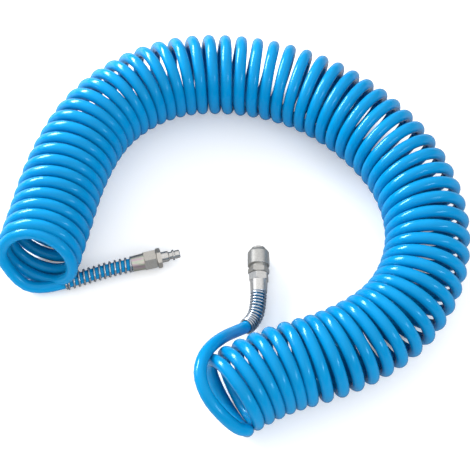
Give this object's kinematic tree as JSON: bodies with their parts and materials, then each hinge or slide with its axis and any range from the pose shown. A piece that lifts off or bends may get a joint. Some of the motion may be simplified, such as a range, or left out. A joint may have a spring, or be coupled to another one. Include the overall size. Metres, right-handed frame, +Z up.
{
  "type": "coiled air hose",
  "caption": "Coiled blue polyurethane air hose lying in an open C, with a quick-release plug on one end and a quick-release coupler with a sliding lock sleeve on the other.",
  "frame": {"origin": "on the floor, under the middle of the outline", "axes": "+Z up, +Y along the coupler towards its mouth and away from the open side of the C, +X to the right"},
  "size_m": [0.4756, 0.4487, 0.0865],
  "materials": {
    "hose": "glossy azure polyurethane",
    "zinc_iridescent": "zinc plate with a yellow and pink chromate tint",
    "steel_plated": "satin nickel plate",
    "steel_polished": "bright nickel plate",
    "sleeve_steel": "satin turned steel",
    "spring_wire": "bright drawn wire",
    "ball_steel": "polished bearing steel",
    "valve_brass": "turned brass",
    "seal_rubber": "matt black"
  },
  "bodies": {
    "hose_and_fittings": {"hose_coil": "hose", "plug_end_hose": "hose", "coupler_end_hose": "hose", "plug_nut": "zinc_iridescent", "plug_body": "steel_plated", "plug_spring_guard": "spring_wire", "coupler_nut": "steel_polished", "coupler_tailpiece": "steel_plated", "coupler_spring_guard": "spring_wire", "coupler_body": "steel_plated", "sleeve_spring": "spring_wire", "retaining_ring": "spring_wire", "valve_spring": "spring_wire", "plug_seal": "seal_rubber", "body_seal": "seal_rubber"},
    "sleeve": {"lock_sleeve": "sleeve_steel"},
    "valve": {"valve_poppet": "valve_brass", "valve_seal": "seal_rubber"},
    "ball_1": {"lock_ball_1": "ball_steel"},
    "ball_2": {"lock_ball_2": "ball_steel"},
    "ball_3": {"lock_ball_3": "ball_steel"},
    "ball_4": {"lock_ball_4": "ball_steel"},
    "ball_5": {"lock_ball_5": "ball_steel"},
    "ball_6": {"lock_ball_6": "ball_steel"}
  },
  "joints": [
    {"name": "sleeve_slide", "type": "slide", "parent": "hose_and_fittings", "child": "sleeve", "axis": [0, -1, 0], "range_m": [0, 0.003], "stiffness_N_per_m": 1500, "springref_m": -0.003, "deforming": ["sleeve_spring"]},
    {"name": "valve_slide", "type": "slide", "parent": "hose_and_fittings", "child": "valve", "axis": [0, -1, 0], "range_m": [0, 0.0042], "stiffness_N_per_m": 600, "springref_m": -0.003, "deforming": ["valve_spring"]},
    {"name": "ball_1_slide", "type": "slide", "parent": "hose_and_fittings", "child": "ball_1", "axis": [0, 0, -1], "range_m": [0, 0.0015]},
    {"name": "ball_2_slide", "type": "slide", "parent": "hose_and_fittings", "child": "ball_2", "axis": [-0.866, 0, -0.5], "range_m": [0, 0.0015]},
    {"name": "ball_3_slide", "type": "slide", "parent": "hose_and_fittings", "child": "ball_3", "axis": [-0.866, 0, 0.5], "range_m": [0, 0.0015]},
    {"name": "ball_4_slide", "type": "slide", "parent": "hose_and_fittings", "child": "ball_4", "axis": [0, 0, 1], "range_m": [0, 0.0015]},
    {"name": "ball_5_slide", "type": "slide", "parent": "hose_and_fittings", "child": "ball_5", "axis": [0.866, 0, 0.5], "range_m": [0, 0.0015]},
    {"name": "ball_6_slide", "type": "slide", "parent": "hose_and_fittings", "child": "ball_6", "axis": [0.866, 0, -0.5], "range_m": [0, 0.0015]}
  ],
  "couplings": [
    {"joint": "ball_1_slide", "follows": "sleeve_slide", "ratio": 0.5},
    {"joint": "ball_2_slide", "follows": "sleeve_slide", "ratio": 0.5},
    {"joint": "ball_3_slide", "follows": "sleeve_slide", "ratio": 0.5},
    {"joint": "ball_4_slide", "follows": "sleeve_slide", "ratio": 0.5},
    {"joint": "ball_5_slide", "follows": "sleeve_slide", "ratio": 0.5},
    {"joint": "ball_6_slide", "follows": "sleeve_slide", "ratio": 0.5}
  ]
}
